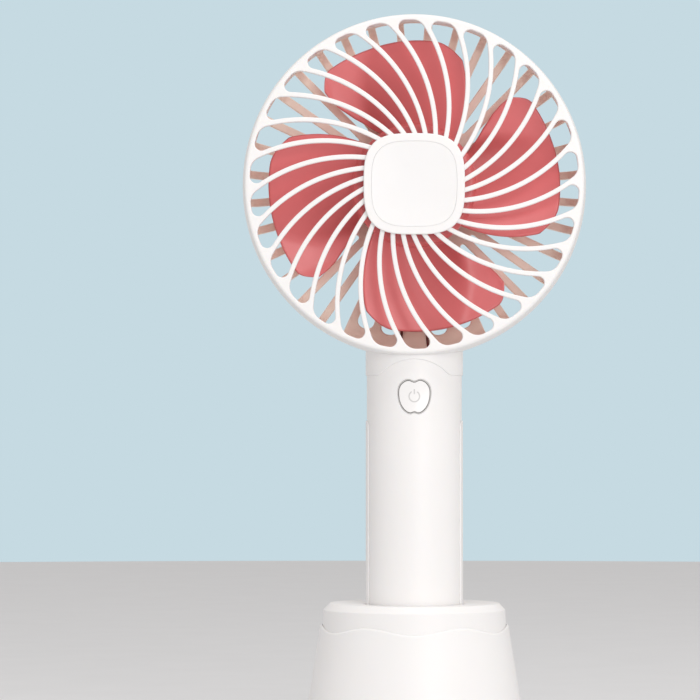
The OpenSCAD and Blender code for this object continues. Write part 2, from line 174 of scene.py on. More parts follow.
def rounded(corners, closed=True, steps=6):
    """Rounds the corners (x, y, radius) of an outline that has its solid on the left.

    Returns the points, and at each the direction that faces out of the solid."""
    points, normals = [], []
    for i, (_, _, radius) in enumerate(corners):
        here, before, after, sine = at_corner(corners, i)
        if not closed and i in (0, len(corners) - 1):
            along = before if i else after
            points.append(here)
            normals.append([along[1], -along[0]])
            continue
        turn = math.atan2(sine, float(before @ after))
        way = 1 if turn > 0 else -1
        start = here - before * (radius * math.tan(abs(turn) / 2))
        centre = start + np.array([-before[1], before[0]]) * way * radius
        first = math.atan2(-before[0], before[1])
        for k in range(steps + 1):
            angle = first + turn * k / steps
            direction = np.array([math.cos(angle), math.sin(angle)])
            points.append(centre + direction * radius * way)
            normals.append(direction)
    return np.array(points), np.array(normals)


def lathe(corners, closed=True, segments=192, steps=6, warp=None):
    """Turns a rounded (r, z) outline about +Z. An open outline starts and ends on the axis."""
    profile, outward = rounded(corners, closed, steps)
    angles = np.arange(segments) * 2 * math.pi / segments
    r = np.repeat(profile[:, 0:1], segments, 1)
    z = np.repeat(profile[:, 1:2], segments, 1)
    if warp is not None:
        r, z = warp(r, z, angles[None, :])
    points = polar(r, angles, z)
    looks = polar(outward[:, 0:1], angles, outward[:, 1:2])
    index = np.arange(r.size).reshape(r.shape)
    if closed:
        index = np.concatenate([index, index[:1]])
    else:
        # On the axis one point stands for its whole ring
        index[0], index[-1] = index[0, 0], index[-1, 0]
    return tidy(points.reshape(-1, 3), grid_faces(index, around=True), looks.reshape(-1, 3))


def tidy(points, faces, normals):
    """Drops the points that no face uses."""
    used = np.unique(np.concatenate([np.asarray(f) for f in faces]))
    new = np.full(len(points), -1)
    new[used] = np.arange(len(used))
    return points[used], [[int(new[i]) for i in f] for f in faces], normals[used]


def facing_front(shell, height=HEAD_Z):
    """Stands a shell drawn about +Z on a level axis at a height, its +Z to the front."""
    points, faces, normals = shell
    points = np.stack([points[:, 0], -points[:, 2], points[:, 1] + height], -1)
    return points, faces, np.stack([normals[:, 0], -normals[:, 2], normals[:, 1]], -1)


def inside(points, outline):
    """Which of the points lie inside the closed outline."""
    x, y = points[:, 0:1], points[:, 1:2]
    x1, y1 = outline[:, 0], outline[:, 1]
    x2, y2 = np.roll(x1, -1), np.roll(y1, -1)
    crosses = (y1 > y) != (y2 > y)
    rise = np.where(y2 == y1, 1, y2 - y1)
    return (crosses & (x < x1 + (y - y1) * (x2 - x1) / rise)).sum(1) % 2 == 1


def moulded(outer, holes, place, thickness, edge, seeds=None, steps=4, rim=None):
    """A moulded wall with rounded edges, as one closed shell.

    outer(inset) and each of holes(inset) give an outline in the wall's flat pattern, the inset
    taken from the solid. place(pattern, depth) puts points of the pattern in space, depth being
    measured down from the outer surface. rim replaces the outer edge with extra (place-ready)
    rings of points, from the outer surface round to the inner one."""
    outlines = [outer] + list(holes)
    loops = [outline(edge) for outline in outlines]
    pattern = np.concatenate(loops)
    edges, base = [], 0
    for loop in loops:
        edges += [(base + i, base + (i + 1) % len(loop)) for i in range(len(loop))]
        base += len(loop)
    if seeds is not None and len(seeds):
        pattern = np.concatenate([pattern, seeds])
    flat, _, triangles, origins, _, _ = delaunay_2d_cdt(
        [Vector(p) for p in pattern.tolist()], edges, [], 0, 1e-6, True)
    flat = np.array([tuple(p) for p in flat])
    triangles = np.array([t for t in triangles if len(t) == 3])
    middles = flat[triangles].mean(1)
    keep = inside(middles, loops[0])
    for loop in loops[1:]:
        near = keep & (np.abs(middles - loop.mean(0)).max(1) < np.ptp(loop, 0).max())
        keep[near] &= ~inside(middles[near], loop)
    triangles = triangles[keep]
    of_input = {}
    for new, olds in enumerate(origins):
        for old in olds:
            of_input[old] = new

    depth_of = thickness if callable(thickness) else (lambda p: np.full(len(p), float(thickness)))
    zero = np.zeros(len(flat))
    step = 1e-3

    def face_normal(p, depth):
        across = place(p + [step, 0], depth) - place(p - [step, 0], depth)
        along = place(p + [0, step], depth) - place(p - [0, step], depth)
        return unit(np.cross(across, along))

    # Which way is out: away from where the wall has its depth
    out = face_normal(flat, zero)
    down = place(flat, zero + 0.1) - place(flat, zero)
    flip = -1 if float((out * down).sum(1).mean()) > 0 else 1
    front_points, front_normals = place(flat, zero), out * flip
    full = depth_of(flat)
    back_points, back_normals = place(flat, full), -face_normal(flat, full) * flip
    count = len(flat)
    points, normals = [front_points, back_points], [front_normals, back_normals]
    faces = [list(t) for t in triangles]
    faces += [[t[2] + count, t[1] + count, t[0] + count] for t in triangles]
    total = 2 * count
    base = 0
    for number, (outline, loop) in enumerate(zip(outlines, loops)):
        size = len(loop)
        ring = np.array([of_input[base + i] for i in range(size)])
        base += size
        rings = [ring]
        if number == 0 and rim is not None:
            for ring_points, ring_normals in rim:
                points.append(ring_points)
                normals.append(ring_normals)
                rings.append(np.arange(total, total + size))
                total += size
        else:
            wall = depth_of(loop)
            angles = [math.pi / 2 * k / steps for k in range(1, steps + 1)]
            stations = [(edge * (1 - math.sin(a)), edge * (1 - math.cos(a)) + 0 * wall, a)
                        for a in angles]
            stations += [(inset, wall - depth, -a) for inset, depth, a in reversed(stations)]
            for inset, depth, a in stations:
                p = outline(inset)
                surface = face_normal(p, depth) * flip * (1 if a > 0 else -1)
                nearer, further = outline(inset - step), outline(inset + step)
                side = unit(place(nearer, depth) - place(further, depth))
                points.append(place(p, depth))
                normals.append(unit(surface * math.cos(abs(a)) + side * math.sin(abs(a))))
                rings.append(np.arange(total, total + size))
                total += size
        faces += grid_faces(np.stack(rings + [ring + count]), around=True)
    points, normals = np.concatenate(points), np.concatenate(normals)
    faces = [agreeing(face, points, normals) for face in faces]
    return points, faces, normals


def agreeing(face, points, normals):
    """The face, turned over if it looks the other way from its points' normals."""
    # A triangle's first corner also stands for its fourth
    a, b, c, d = points[(face + face[:1])[:4]]
    looks = np.cross(c - a, d - b)
    return face if float(looks @ normals[face].sum(0)) >= 0 else face[::-1]


def arc(centre, radius, start, end, count):
    """Points on a circle from one angle to another, the end left out."""
    angles = np.linspace(start, end, count, endpoint=False)
    return polar(radius, angles) + np.array(centre)


def meet(centre_a, radius_a, centre_b, radius_b, near):
    """The point where two circles cross that is closest to near."""
    a, b = np.array(centre_a, float), np.array(centre_b, float)
    gap = np.linalg.norm(b - a)
    along = (radius_a ** 2 - radius_b ** 2 + gap ** 2) / (2 * gap)
    across = math.sqrt(max(radius_a ** 2 - along ** 2, 0))
    direction = (b - a) / gap
    middle = a + direction * along
    options = [middle + across * np.array([-direction[1], direction[0]]) * s for s in (1, -1)]
    return min(options, key=lambda p: np.linalg.norm(p - np.array(near)))


def turned(points, angle):
    """Flat points turned about the origin."""
    c, s = math.cos(angle), math.sin(angle)
    return np.stack([points[:, 0] * c - points[:, 1] * s, points[:, 0] * s + points[:, 1] * c], -1)


def superellipse(c, power):
    return np.sign(c) * np.abs(c) ** (2 / power)


def rounded_polygon(corners):
    """An outline function of inset for a polygon of (x, y, radius) with its solid on the left."""
    def outline(inset):
        moved = []
        for i, (_, _, radius) in enumerate(corners):
            here, before, after, sine = at_corner(corners, i)
            left_before = np.array([-before[1], before[0]])
            left_after = np.array([-after[1], after[0]])
            bisector = (left_before + left_after) / (1 + float(left_before @ left_after))
            new_radius = radius - inset if sine > 0 else radius + inset
            moved.append((*(here + bisector * inset), max(new_radius, 1e-3)))
        return rounded(moved)[0]

    return outline


def rectangle(half_width, low, high, radius):
    """A rounded_polygon outline standing symmetrically on the pattern's middle line."""
    return rounded_polygon([(-half_width, low, radius), (half_width, low, radius),
                            (half_width, high, radius), (-half_width, high, radius)])


def stepped(outline, step):
    """The outline function with its long level edges divided, so that they can follow a curve.

    They are divided alike at every inset."""
    base = outline(0)
    counts = (np.abs(np.roll(base, -1, 0) - base)[:, 0] / step).astype(int) + 1

    def divided(inset):
        points = outline(inset)
        after = np.roll(points, -1, 0)
        edges = zip(points, after, counts)
        return np.concatenate([p + (q - p) * np.arange(n)[:, None] / n for p, q, n in edges])

    return divided


# ---------------------------------------------------------------- materials

def srgb(red, green, blue):
    """A linear colour from 0 to 255 display values."""
    def linear(v):
        v /= 255
        return v / 12.92 if v <= 0.04045 else ((v + 0.055) / 1.055) ** 2.4
    return (linear(red), linear(green), linear(blue), 1)


MATERIALS = {}


def fill(node, **values):
    """Sets a node's inputs, named with underscores for spaces."""
    for key, value in values.items():
        node.inputs[key.replace("_", " ")].default_value = value


def textured(name, colour, tint, tint_span, gloss, bump_strength, noises, stretch=None):
    """Adds a material whose colour, roughness and bump follow noises on the object's coordinates.

    noises gives (scale, detail, roughness) for the three in turn, or one for all of them."""
    material = MATERIALS[name] = bpy.data.materials.new(name)
    material.use_nodes = True
    tree = material.node_tree
    add, link = tree.nodes.new, tree.links.new
    shader = tree.nodes["Principled BSDF"]
    place = add("ShaderNodeTexCoord").outputs["Object"]
    if stretch:
        mapping = add("ShaderNodeMapping")
        fill(mapping, Scale=stretch)
        link(place, mapping.inputs["Vector"])
        place = mapping.outputs["Vector"]
    fields = []
    for scale, detail, roughness in noises:
        noise = add("ShaderNodeTexNoise")
        fill(noise, Scale=scale, Detail=detail, Roughness=roughness)
        link(place, noise.inputs["Vector"])
        fields.append(noise.outputs["Fac"])
    colour_field, gloss_field, bump_field = fields * (3 // len(fields))

    ramp = add("ShaderNodeValToRGB")
    for element, position, change in zip(ramp.color_ramp.elements, tint_span, (-tint, tint)):
        element.position = position
        element.color = tuple(min(c * (1 + change), 1) for c in colour[:3]) + (1,)
    link(colour_field, ramp.inputs["Fac"])
    link(ramp.outputs["Color"], shader.inputs["Base Color"])
    rough = add("ShaderNodeMapRange")
    fill(rough, To_Min=gloss[0], To_Max=gloss[1])
    link(gloss_field, rough.inputs["Value"])
    link(rough.outputs["Result"], shader.inputs["Roughness"])
    bump = add("ShaderNodeBump")
    fill(bump, Strength=bump_strength, Distance=0.00003)
    link(bump_field, bump.inputs["Height"])
    link(bump.outputs["Normal"], shader.inputs["Normal"])
    return tree, shader


def moulded_plastic(name, colour, roughness, grain=1.0, subsurface=0.0, coat=0.0, tint=0.03):
    """Injection-moulded plastic: faint flow tint, worn gloss, and fine spark-eroded grain."""
    tree, shader = textured(
        name, colour, tint, (0.3, 0.7), (roughness - 0.05, roughness + 0.05), 0.10 * grain,
        [(38.0, 3.0, 0.55), (160.0, 4.0, 0.6), (5200.0, 2.0, 0.5)])
    fill(shader, Subsurface_Weight=subsurface, Subsurface_Radius=(0.004, 0.003, 0.002),
         Subsurface_Scale=0.3, Coat_Weight=coat, Coat_Roughness=0.25, Specular_IOR_Level=0.5)
    return tree, shader


def worked_metal(name, colour, roughness, scale=900.0, stretch=(1, 1, 1), mottle=0.12):
    """Metal with drawn or plated variation in its colour and gloss."""
    shader = textured(
        name, colour, mottle, (0.25, 0.75), (roughness - 0.08, roughness + 0.10), 0.15,
        [(scale, 5.0, 0.65)], stretch)[1]
    fill(shader, Metallic=1)


def coral_plastic(name, colour):
    """Coral plastic for the impeller, with painted shade before each blade's fold and a painted
    highlight past it.
    """
    tree, shader = moulded_plastic(name, colour, 0.36, grain=0.6, coat=0.1, tint=0.03)
    link = tree.links.new
    plain = shader.inputs["Base Color"].links[0].from_socket

    def maths(operation, a, b=None):
        node = tree.nodes.new("ShaderNodeMath")
        node.operation = operation
        for socket, value in zip(node.inputs, (a, b)):
            if isinstance(value, (int, float)):
                socket.default_value = value
            elif value is not None:
                link(value, socket)
        return node.outputs[0]

    def times(a, b):
        return maths("MULTIPLY", a, b)

    def minus(a, b):
        return maths("SUBTRACT", a, b)

    def rise(value, low, high):
        node = tree.nodes.new("ShaderNodeMapRange")
        node.interpolation_type = "SMOOTHSTEP"
        fill(node, From_Min=low, From_Max=high)
        link(value, node.inputs["Value"])
        return node.outputs["Result"]

    def tinted(value, amount, tint):
        node = tree.nodes.new("ShaderNodeMix")
        node.data_type = "RGBA"
        node.blend_type = "MULTIPLY"
        colours = [socket for socket in node.inputs if socket.type == "RGBA"]
        link(value, colours[0])
        colours[1].default_value = (*tint, 1)
        link(amount, node.inputs["Factor"])
        return next(socket for socket in node.outputs if socket.type == "RGBA")

    place = tree.nodes.new("ShaderNodeTexCoord")
    split = tree.nodes.new("ShaderNodeSeparateXYZ")
    link(place.outputs["Object"], split.inputs[0])
    across = split.outputs["X"]
    up = minus(split.outputs["Z"], HEAD_Z * MM)
    radius = maths("SQRT", maths("ADD", times(across, across), times(up, up)))
    # Angle from each blade's leading edge, and how far it is past the blade's fold
    turn = maths("FLOORED_MODULO", minus(maths("ARCTAN2", up, across), 0.81), math.pi / 2)
    past = maths("ADD", turn, times(minus(radius, 0.0189), 13.3))
    outward = rise(radius, 0.022, 0.041)
    on_blade = rise(radius, 0.0188, 0.0198)
    # The mask named thick is painted shade: it darkens each blade towards its fold, most near the
    # hub, standing in for the shade of the steeply pitched valley.
    thick = times(rise(past, 0.35, 1.38), minus(1.0, rise(past, 1.38, 1.55)))
    thick = times(times(thick, on_blade), minus(1.0, times(outward, 0.85)))
    # This mask paints a paler highlight on each blade past its fold, growing towards the tip.
    painted_tip_highlight = times(rise(past, 1.16, 1.62), outward)
    # The plain coral is multiplied by a darker tint for the painted shade, then by a paler one for
    # the painted highlight.
    shaded = tinted(plain, thick, (0.75, 0.6, 0.6))
    shaded = tinted(shaded, painted_tip_highlight, (1.16, 1.4, 1.4))
    link(shaded, shader.inputs["Base Color"])


WHITE = srgb(244, 242, 241)
moulded_plastic("white_shell", WHITE, 0.42, subsurface=0.06, tint=0.008)
moulded_plastic("white_dock", WHITE, 0.46, subsurface=0.06, tint=0.008)
moulded_plastic("white_button", srgb(245, 243, 242), 0.24, grain=0.3, tint=0.006)
moulded_plastic("grey_trim", srgb(200, 198, 196), 0.5, tint=0.04)
# The rear grille's warm rose tint is painted reflected light, standing in for the coral light that
# the blades throw onto it.
moulded_plastic("rose_grille", srgb(252, 236, 222), 0.5, tint=0.02)
coral_plastic("coral_blades", srgb(231, 117, 119))
moulded_plastic("dark_plastic", srgb(42, 42, 44), 0.5, tint=0.08)
worked_metal("steel", srgb(190, 190, 194), 0.32)
worked_metal("plated_can", srgb(200, 198, 192), 0.26, scale=500.0)
worked_metal("brass", srgb(205, 170, 105), 0.38, scale=1500.0)
worked_metal("copper_winding", srgb(186, 108, 72), 0.35, 260.0, (1, 14, 1), 0.3)
moulded_plastic("magnet", srgb(52, 52, 56), 0.65, grain=2.0, tint=0.15)
moulded_plastic("circuit_board", srgb(24, 94, 58), 0.35, tint=0.14)
moulded_plastic("led_lens", srgb(232, 214, 150), 0.15, grain=0.2, tint=0.03)
moulded_plastic("cell_wrap", srgb(46, 138, 110), 0.28, grain=0.4, tint=0.04)
moulded_plastic("lead_sleeve", srgb(96, 26, 26), 0.45, tint=0.08)
moulded_plastic("foot_rubber", srgb(150, 149, 147), 0.78, grain=2.5, tint=0.06)
moulded_plastic("print_grey", srgb(210, 208, 207), 0.45, tint=0.02)
moulded_plastic("floor_paper", srgb(226, 226, 227), 0.7, tint=0.01)


# ---------------------------------------------------------------- front guard

def front_slot(number):
    """Outline function of one slot between two curved ribs, with a teardrop outer end."""
    rib_centre, rib_r, rib_half = np.array([2.03, 43.5]), 47.2, 0.73
    slot_end_r, slot_root_r = 49.8, 14.0
    flare_low, flare_high, root_round = 4.2, 2.0, 0.5
    pitch = 2 * math.pi / RIB_COUNT
    next_centre = turned(rib_centre[None, :], pitch)[0]
    origin = (0, 0)
    guess_out, guess_in = [47 * math.cos(0.5), 47 * math.sin(0.5)], [14.5, 0.0]

    def outline(inset):
        inner_r = rib_r - rib_half + inset
        outer_r = rib_r + rib_half - inset
        end_r, root_r = slot_end_r + inset, slot_root_r - inset
        low, high, root = flare_low + inset, flare_high + inset, root_round + inset
        # Centres of the four corner rounds
        low_c = meet(rib_centre, inner_r - low, origin, end_r - low, guess_out)
        high_c = meet(next_centre, outer_r + high, origin, end_r - high, guess_out)
        root_low_c = meet(rib_centre, inner_r - root, origin, root_r + root, guess_in)
        root_high_c = meet(next_centre, outer_r + root, origin, root_r + root, guess_in)

        def headings(centre, *points):
            return [math.atan2(p[1] - centre[1], p[0] - centre[0]) for p in points]

        # Anticlockwise: out along the low rib, round the end, back along the high rib
        a0, a1 = headings(rib_centre, root_low_c, low_c)
        b0, b1, d0, d1 = headings(origin, low_c, high_c, root_high_c, root_low_c)
        c0, c1 = headings(next_centre, high_c, root_high_c)
        parts = [
            arc(rib_centre, inner_r, a0, a1, 26),
            arc(low_c, low, a1, b0, 14),
            arc(origin, end_r, b0, b1, 8),
            arc(high_c, high, b1, c0 + math.pi, 12),
            arc(next_centre, outer_r, c0, c1, 26),
            arc(root_high_c, root, c1 + math.pi, d0 + math.pi, 4),
            arc(origin, root_r, d0, d1, 3),
            arc(root_low_c, root, d1 - math.pi, a0, 4),
        ]
        return turned(np.concatenate(parts), number * pitch)

    return outline


def build_front_guard():
    face, back = FACE_W, FACE_W - 2.2
    plate_r, edge, around = 50.32, 0.36, 720
    side_r, brow_r, lip_r, lip_w = 51.75, 51.32, 50.75, GUARD_SEAM_W - 2.5

    def outer(inset):
        return arc((0, 0), plate_r, 0, 2 * math.pi, around)

    def place(p, depth):
        return np.stack([p[:, 0], p[:, 1], face - depth], -1)

    profile, outward = rounded([
        (plate_r - 0.01, back, 0.05), (plate_r, lip_w, 0.12), (lip_r, lip_w, 0.12),
        (lip_r, GUARD_SEAM_W + 0.08, 0.1), (side_r, GUARD_SEAM_W + 0.08, 0.2),
        (brow_r, face, 0.95), (plate_r, face, 0.0),
    ], closed=False)
    angles = np.arange(around) * 2 * math.pi / around
    rim = [(polar(r, angles, w), polar(out_r, angles, out_w))
           for (r, w), (out_r, out_w) in list(zip(profile, outward))[-2:0:-1]]
    slots = [front_slot(k) for k in range(RIB_COUNT)]
    shell = moulded(outer, slots, place, face - back, edge, rim=rim)
    make_piece("front_guard", facing_front(shell))


# ---------------------------------------------------------------- cap

def squircle_lathe(corners, power=3.2, segments=200, steps=5):
    """Sweeps a rounded, open (half width, w) outline round a square with bulging sides."""
    angles = np.arange(segments) * 2 * math.pi / segments
    shape_x, shape_y = superellipse(np.cos(angles), power), superellipse(np.sin(angles), power)
    points, faces, normals = lathe(corners, False, segments, steps)
    stretch = np.interp(np.arctan2(points[:, 1], points[:, 0]), np.arctan2(shape_y, shape_x),
                        np.hypot(shape_x, shape_y), period=2 * math.pi)
    moved = points * np.stack([stretch, stretch, np.ones_like(stretch)], -1)
    x, y = np.abs(moved[:, 0]), np.abs(moved[:, 1])
    signs = np.sign(points[:, :2])
    slope = unit(signs * np.stack([x, y], -1) ** (power - 1) + 1e-9)
    away = np.sign((normals[:, :2] * points[:, :2]).sum(1))
    flat_part = away * np.hypot(normals[:, 0], normals[:, 1])
    looks = np.stack([slope[:, 0] * flat_part, slope[:, 1] * flat_part, normals[:, 2]], -1)
    return moved, faces, unit(looks)


def build_cap():
    half = HIGH["cap_rim"][0] - 0.08
    base, top = -HIGH["cap_rim"][1], -LOW["cap_rim"][1]
    pocket, floor = HIGH["cap_panel"][0] + 0.02, -HIGH["cap_panel"][1]
    rim = squircle_lathe([
        (0, base, 0), (half - 0.1, base, 0.15), (half, top, 0.4),
        (pocket + 0.02, top - 0.01, 0.07), (pocket, floor, 0.05), (0, floor, 0),
    ])
    make_piece("cap_rim", facing_front(rim))

    edge, dish = HIGH["cap_panel"][0], 0.42
    lip = top - 0.04

    def dished(r):
        return lip - dish * (1 - (r / edge) ** 2)

    rings = [edge * f for f in (0.93, 0.86, 0.78, 0.7, 0.6, 0.5, 0.4, 0.3, 0.2, 0.1)]
    corners = [(0, floor, 0), (edge - 0.02, floor, 0.04), (edge + 0.01, lip, 0.07)]
    corners += [(r, dished(r), 0.01) for r in rings] + [(0, dished(0), 0)]
    panel = squircle_lathe(corners)
    make_piece("cap_panel", facing_front(panel))


# ---------------------------------------------------------------- ring housing and neck

def bowl_r(w):
    """Outer radius of the rear grille's bowl at a distance in front of the axis."""
    behind = max(BOWL_MIDDLE_W - w, 0)
    return BOWL_FLAT_R + math.sqrt(max(BOWL_CORNER ** 2 - behind ** 2, 0))


def collar_edge_z(x):
    """Height of the collar's lower edge at the front: level, with an arch in the middle."""
    arch = 13.4
    level = COLLAR_Z - 0.2
    hump = ARCH_TOP_Z - arch + np.sqrt(np.maximum(arch ** 2 - np.minimum(np.abs(x), 12.5) ** 2, 0))
    blend = 0.7
    return (level + hump + np.sqrt((level - hump) ** 2 + blend ** 2)) / 2


def collar_low(angle, gap):
    """Lower edge of the collar at an angle from the front, or the handle's upper edge below it."""
    x = HANDLE_R * np.sin(angle)
    front = np.cos(angle) > 0
    return np.where(front, collar_edge_z(x), COLLAR_Z - 0.2) + gap


def build_neck():
    columns = 360
    shoulder_r = 15.7
    angles = np.arange(columns) * 2 * math.pi / columns
    grow = 14.0

    def surface(angle, z, inset):
        """Point of the neck's outer surface, shrunk by the inset. The shoulder cuts its back."""
        r = COVER_R - inset
        rise = max(z - (COLLAR_Z + 1), 0)
        limit = COVER_R - shoulder_r + math.sqrt(max((shoulder_r - inset) ** 2 - rise ** 2, 0))
        back = -math.cos(angle)
        if back > 0:
            r = ((1 / r) ** grow + (back / limit) ** grow) ** (-1 / grow) if limit > 0 else 0.1
        return np.array([r * math.sin(angle), -r * math.cos(angle), z])

    def buried(p):
        """Whether the point is inside the head's wall."""
        w = -p[1]
        head = math.hypot(p[0], p[2] - HEAD_Z)
        if w > GUARD_SEAM_W:
            return head < HEAD_R - 0.75
        if w > RING_BACK_W:
            return head < HEAD_R - 0.6
        return w > GRILLE_W + 0.25 and head < bowl_r(w + 0.25) - 0.35

    grid, edge, wall, lap = [], 0.28, 1.6, COVER_R - HANDLE_R - 0.02
    rows = 36
    for a in angles:
        low = float(collar_low(np.array(a), 0))
        z = low + 1
        while z < HEAD_Z and not buried(surface(a, z, 0)):
            z += 0.1
        # Down a rebate that laps over the top of the handle, round the lower edge, then up
        top = min(low + 4, HEAD_Z - HEAD_R + 1)
        path = [(top, wall), (low + 1.3, wall), (low + 1.2, lap), (low, lap), (low, edge)]
        for t in [math.pi / 2 * k / 4 for k in (3, 2, 1, 0)]:
            path.append((low + edge * (1 - math.sin(t)), edge * (1 - math.cos(t))))
        path += [(low + edge + (z - low - edge) * (k / rows), 0) for k in range(1, rows + 1)]
        grid.append([surface(a, height, inset) for height, inset in path])
    grid = np.array(grid)
    index = np.arange(grid[..., 0].size).reshape(grid.shape[:2])
    points = grid.reshape(-1, 3)
    faces = grid_faces(np.concatenate([index, index[:1]]), flip=True)
    return points, faces, mesh_normals(points, faces)


def mesh_normals(points, faces):
    """Smooth normals worked out from the faces, for a shell with no formula for them."""
    normals = np.zeros_like(points)
    for face in faces:
        a, b, c = points[face[0]], points[face[1]], points[face[-1]]
        normals[face] += np.cross(b - a, c - a)
    return unit(normals)


def build_ring_housing():
    inner = HEAD_R - 1.6
    front, back = GUARD_SEAM_W - 0.08, RING_BACK_W + 0.08
    ring = facing_front(lathe([
        (inner, front, 0.2), (inner, back, 0.2), (HEAD_R - 0.12, back, 0.28),
        (HEAD_R, (front + back) / 2 - 1, 30), (HEAD_R - 0.18, front - 4, 14),
        (HEAD_R - 0.62, front, 0.2),
    ], segments=288))
    make_piece("ring_housing", joined(ring, build_neck()))


# ---------------------------------------------------------------- rear grille

def bowl_section(s):
    """Radius, w, and outward direction of the bowl's outer surface, s along it from the centre."""
    angle = np.clip((s - BOWL_FLAT_R) / BOWL_CORNER, 0, math.pi / 2)
    beyond = np.maximum(s - BOWL_FLAT_R - BOWL_TURN, 0)
    r = np.minimum(s, BOWL_FLAT_R) + BOWL_CORNER * np.sin(angle)
    w = BOWL_MIDDLE_W - BOWL_CORNER * np.cos(angle) + beyond
    return r, w, np.sin(angle), -np.cos(angle)


def place_on_bowl(p, depth):
    s = np.hypot(p[:, 0], p[:, 1])
    turn = np.arctan2(p[:, 1], p[:, 0])
    r, w, out_r, out_w = bowl_section(s)
    r, w = r - out_r * depth, w - out_w * depth
    return polar(r, turn, w)


def bowl_thickness(p):
    s = np.hypot(p[:, 0], p[:, 1])
    return 2.5 - 0.9 * np.clip((s - BOWL_FLAT_R) / BOWL_TURN, 0, 1)


def rear_slot(number):
    """Outline function of one straight slot, round at the hub and wrapping over the bowl's edge."""
    pitch = 2 * math.pi / REAR_RIB_COUNT
    middle = number * pitch
    rib_half = 1.225
    root_s = 22.6
    from_neck = abs((math.degrees(middle) - 270 + 180) % 360 - 180)
    end_s = BOWL_FLAT_R + BOWL_TURN + 1.5
    if from_neck < 21:
        end_s = 45.7 if from_neck > 1 else 44.0

    def outline(inset):
        def half_angle(s):
            r = bowl_section(s)[0]
            return pitch / 2 - np.arcsin((rib_half - inset) / r)

        start, end = root_s - inset, end_s + inset
        root_round = 0.8 + inset
        end_round = 2.4 + inset
        swing = np.linspace(0, math.pi / 2, 7)[:-1]
        root_points = start + root_round * (1 - np.cos(swing))
        root_scale = np.sin(swing)
        straight = np.concatenate([
            np.linspace(start + root_round, min(end - end_round, BOWL_FLAT_R - 0.2), 12),
            np.linspace(BOWL_FLAT_R, end - end_round, 14) if end_s > BOWL_FLAT_R else [],
        ])
        end_swing = np.linspace(0, math.pi / 2, 9)[1:]
        end_points = end - end_round + end_round * np.sin(end_swing)
        end_trim = end_round * (1 - np.cos(end_swing))
        s = np.concatenate([root_points, straight, end_points])
        half = half_angle(s)
        full_root = half_angle(np.array([start + root_round]))[0]
        r = bowl_section(s)[0]
        half[:len(root_points)] = full_root * root_scale
        half[-len(end_points):] -= end_trim / r[-len(end_points):]
        return np.concatenate([polar(s, middle - half), polar(s, middle + half)[1:][::-1]])

    return outline


def build_rear_grille():
    edge = 0.42
    rim_s = BOWL_FLAT_R + BOWL_TURN + (RING_BACK_W - BOWL_MIDDLE_W)

    def outer(inset):
        return arc((0, 0), rim_s - inset, 0, 2 * math.pi, 720)

    turns = np.radians(np.arange(249, 292, 1.5))
    seeds = np.concatenate([polar(s, turns) for s in np.linspace(46.6, rim_s - 1.2, 10)])
    slots = [rear_slot(k) for k in range(REAR_RIB_COUNT)]
    bowl = moulded(outer, slots, place_on_bowl, bowl_thickness, edge, seeds)
    seat_r = HIGH["motor_can"][0] + 0.1
    seat_w = GRILLE_W + 2.4
    seat = lathe([
        (seat_r, seat_w, 0.05), (seat_r + 1.2, seat_w, 0.05), (seat_r + 1.2, seat_w + 2.6, 0.25),
        (seat_r, seat_w + 2.6, 0.25),
    ])
    make_piece("rear_grille", facing_front(joined(bowl, seat)), "fan", "rose_grille")


def build_motor_cover():
    front, back = -LOW["motor_cover"][1], -HIGH["motor_cover"][1]
    r = HIGH["motor_cover"][0]
    groove = r - 3.2
    shell = lathe([
        (0, back + 0.35, 0), (groove - 5, back + 0.2, 20), (groove - 0.5, back, 0.2),
        (groove - 0.5, back + 0.35, 0.1), (groove, back + 0.35, 0.1), (groove, back, 0.2),
        (r - 0.2, back + 0.05, 1.1), (r, front, 0.06), (0, front, 0),
    ], closed=False)
    make_piece("motor_cover", facing_front(shell))


# ---------------------------------------------------------------- impeller

def smooth(low, high, x):
    """Rises smoothly from 0 to 1 between low and high."""
    t = np.clip((x - low) / (high - low), 0, 1)
    return t * t * (3 - 2 * t)


